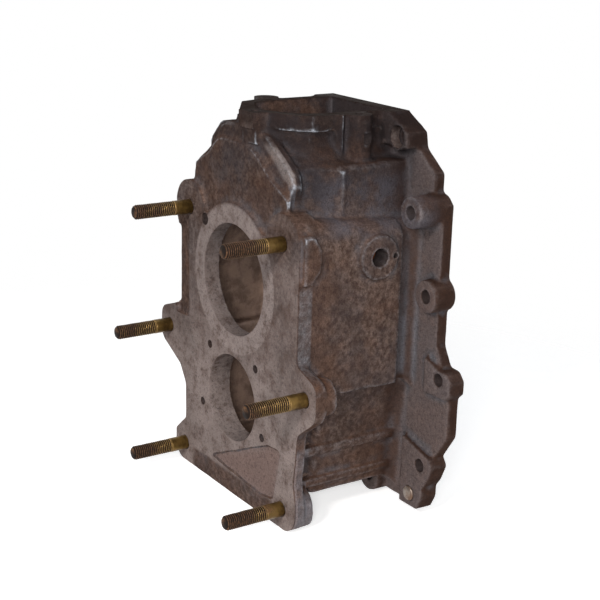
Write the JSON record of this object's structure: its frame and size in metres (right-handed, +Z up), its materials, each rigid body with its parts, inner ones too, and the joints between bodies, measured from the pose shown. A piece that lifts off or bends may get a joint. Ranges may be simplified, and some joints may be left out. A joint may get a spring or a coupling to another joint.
{
  "type": "gearbox housing",
  "caption": "Cast aluminium gearbox housing with bearing bores in a studded front flange, an open top and a wide bolted rear flange.",
  "frame": {"origin": "centre of the main bearing bore, on the machined front face", "axes": "+Z up towards the top opening, +Y back from the front face to the rear flange, +X towards the side with the round port"},
  "size_m": [0.292, 0.177, 0.317],
  "materials": {
    "cast_aluminium": "as cast, stained",
    "yellow_zinc": "zinc plated",
    "bright_steel": "ground"
  },
  "bodies": {
    "root": {"housing_casting": "cast_aluminium", "mounting_studs": "yellow_zinc", "locating_dowels": "bright_steel"}
  },
  "joints": []
}
